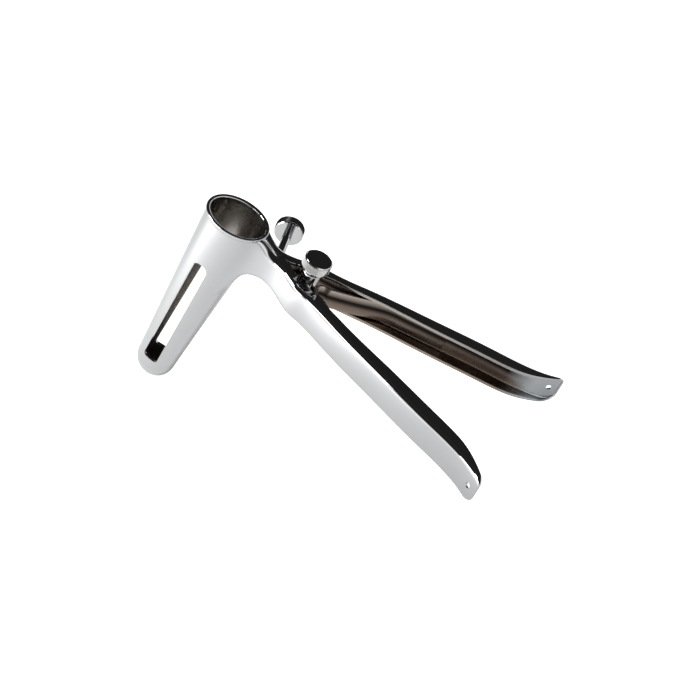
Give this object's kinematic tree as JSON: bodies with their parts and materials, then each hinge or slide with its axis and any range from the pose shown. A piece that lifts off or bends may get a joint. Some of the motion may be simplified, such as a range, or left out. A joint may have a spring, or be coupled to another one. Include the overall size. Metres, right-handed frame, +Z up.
{
  "type": "anal speculum",
  "caption": "Hinged bivalve speculum with windowed tapered blades, spring-loaded channel handles and a thumbscrew that sets the opening.",
  "frame": {"origin": "centre of the bounding box's base: the level ground under the instrument as it stands on its blade tip and two handle ends", "axes": "+Z up from the ground, +X from the blades towards the handles, +Y from the front half to the half that carries the opening screw"},
  "size_m": [0.1758, 0.087, 0.0894],
  "materials": {
    "polished_steel": "mirror polish",
    "knurled_steel": "polished over a straight knurl",
    "spring_steel": "fine satin"
  },
  "bodies": {
    "rear_half": {"rear_blade": "polished_steel", "rear_handle": "polished_steel", "rear_knuckle": "polished_steel", "screw_bush": "polished_steel", "hairpin_spring": "spring_steel"},
    "front_half": {"front_blade": "polished_steel", "front_handle": "polished_steel", "front_upper_knuckle": "polished_steel", "front_lower_knuckle": "polished_steel"},
    "pivot_screw": {"pivot_screw_shank": "polished_steel", "pivot_screw_collar": "polished_steel", "pivot_screw_knob": "knurled_steel"},
    "opening_screw_stem": {"opening_screw_shank": "polished_steel"},
    "opening_screw_head": {"opening_screw_knob": "knurled_steel"}
  },
  "joints": [
    {"name": "blade_hinge", "type": "hinge", "parent": "rear_half", "child": "front_half", "pos_m": [-0.00688, 0, 0.05525], "axis": [0.4821, 0, 0.8761], "range_deg": [0, 24], "stiffness_Nm_per_rad": 0.6, "springref_deg": -34.38, "deforming": ["hairpin_spring"]},
    {"name": "opening_screw_slide", "type": "slide", "parent": "rear_half", "child": "opening_screw_stem", "axis": [0.2238, -0.9668, -0.1231], "range_m": [0, 0.006]},
    {"name": "opening_screw_turn", "type": "hinge", "parent": "opening_screw_stem", "child": "opening_screw_head", "pos_m": [-0.02073, 0.00458, 0.06287], "axis": [0.2238, -0.9668, -0.1231], "range_deg": [0, 2143]},
    {"name": "pivot_screw_turn", "type": "hinge", "parent": "front_half", "child": "pivot_screw", "pos_m": [-0.00688, 0, 0.05525], "axis": [0.4821, 0, 0.8761], "range_deg": [0, 90]}
  ],
  "couplings": [
    {"joint": "opening_screw_slide", "follows": "blade_hinge", "m_per_rad": 0.0142},
    {"joint": "opening_screw_turn", "follows": "blade_hinge", "ratio": 89.221}
  ]
}
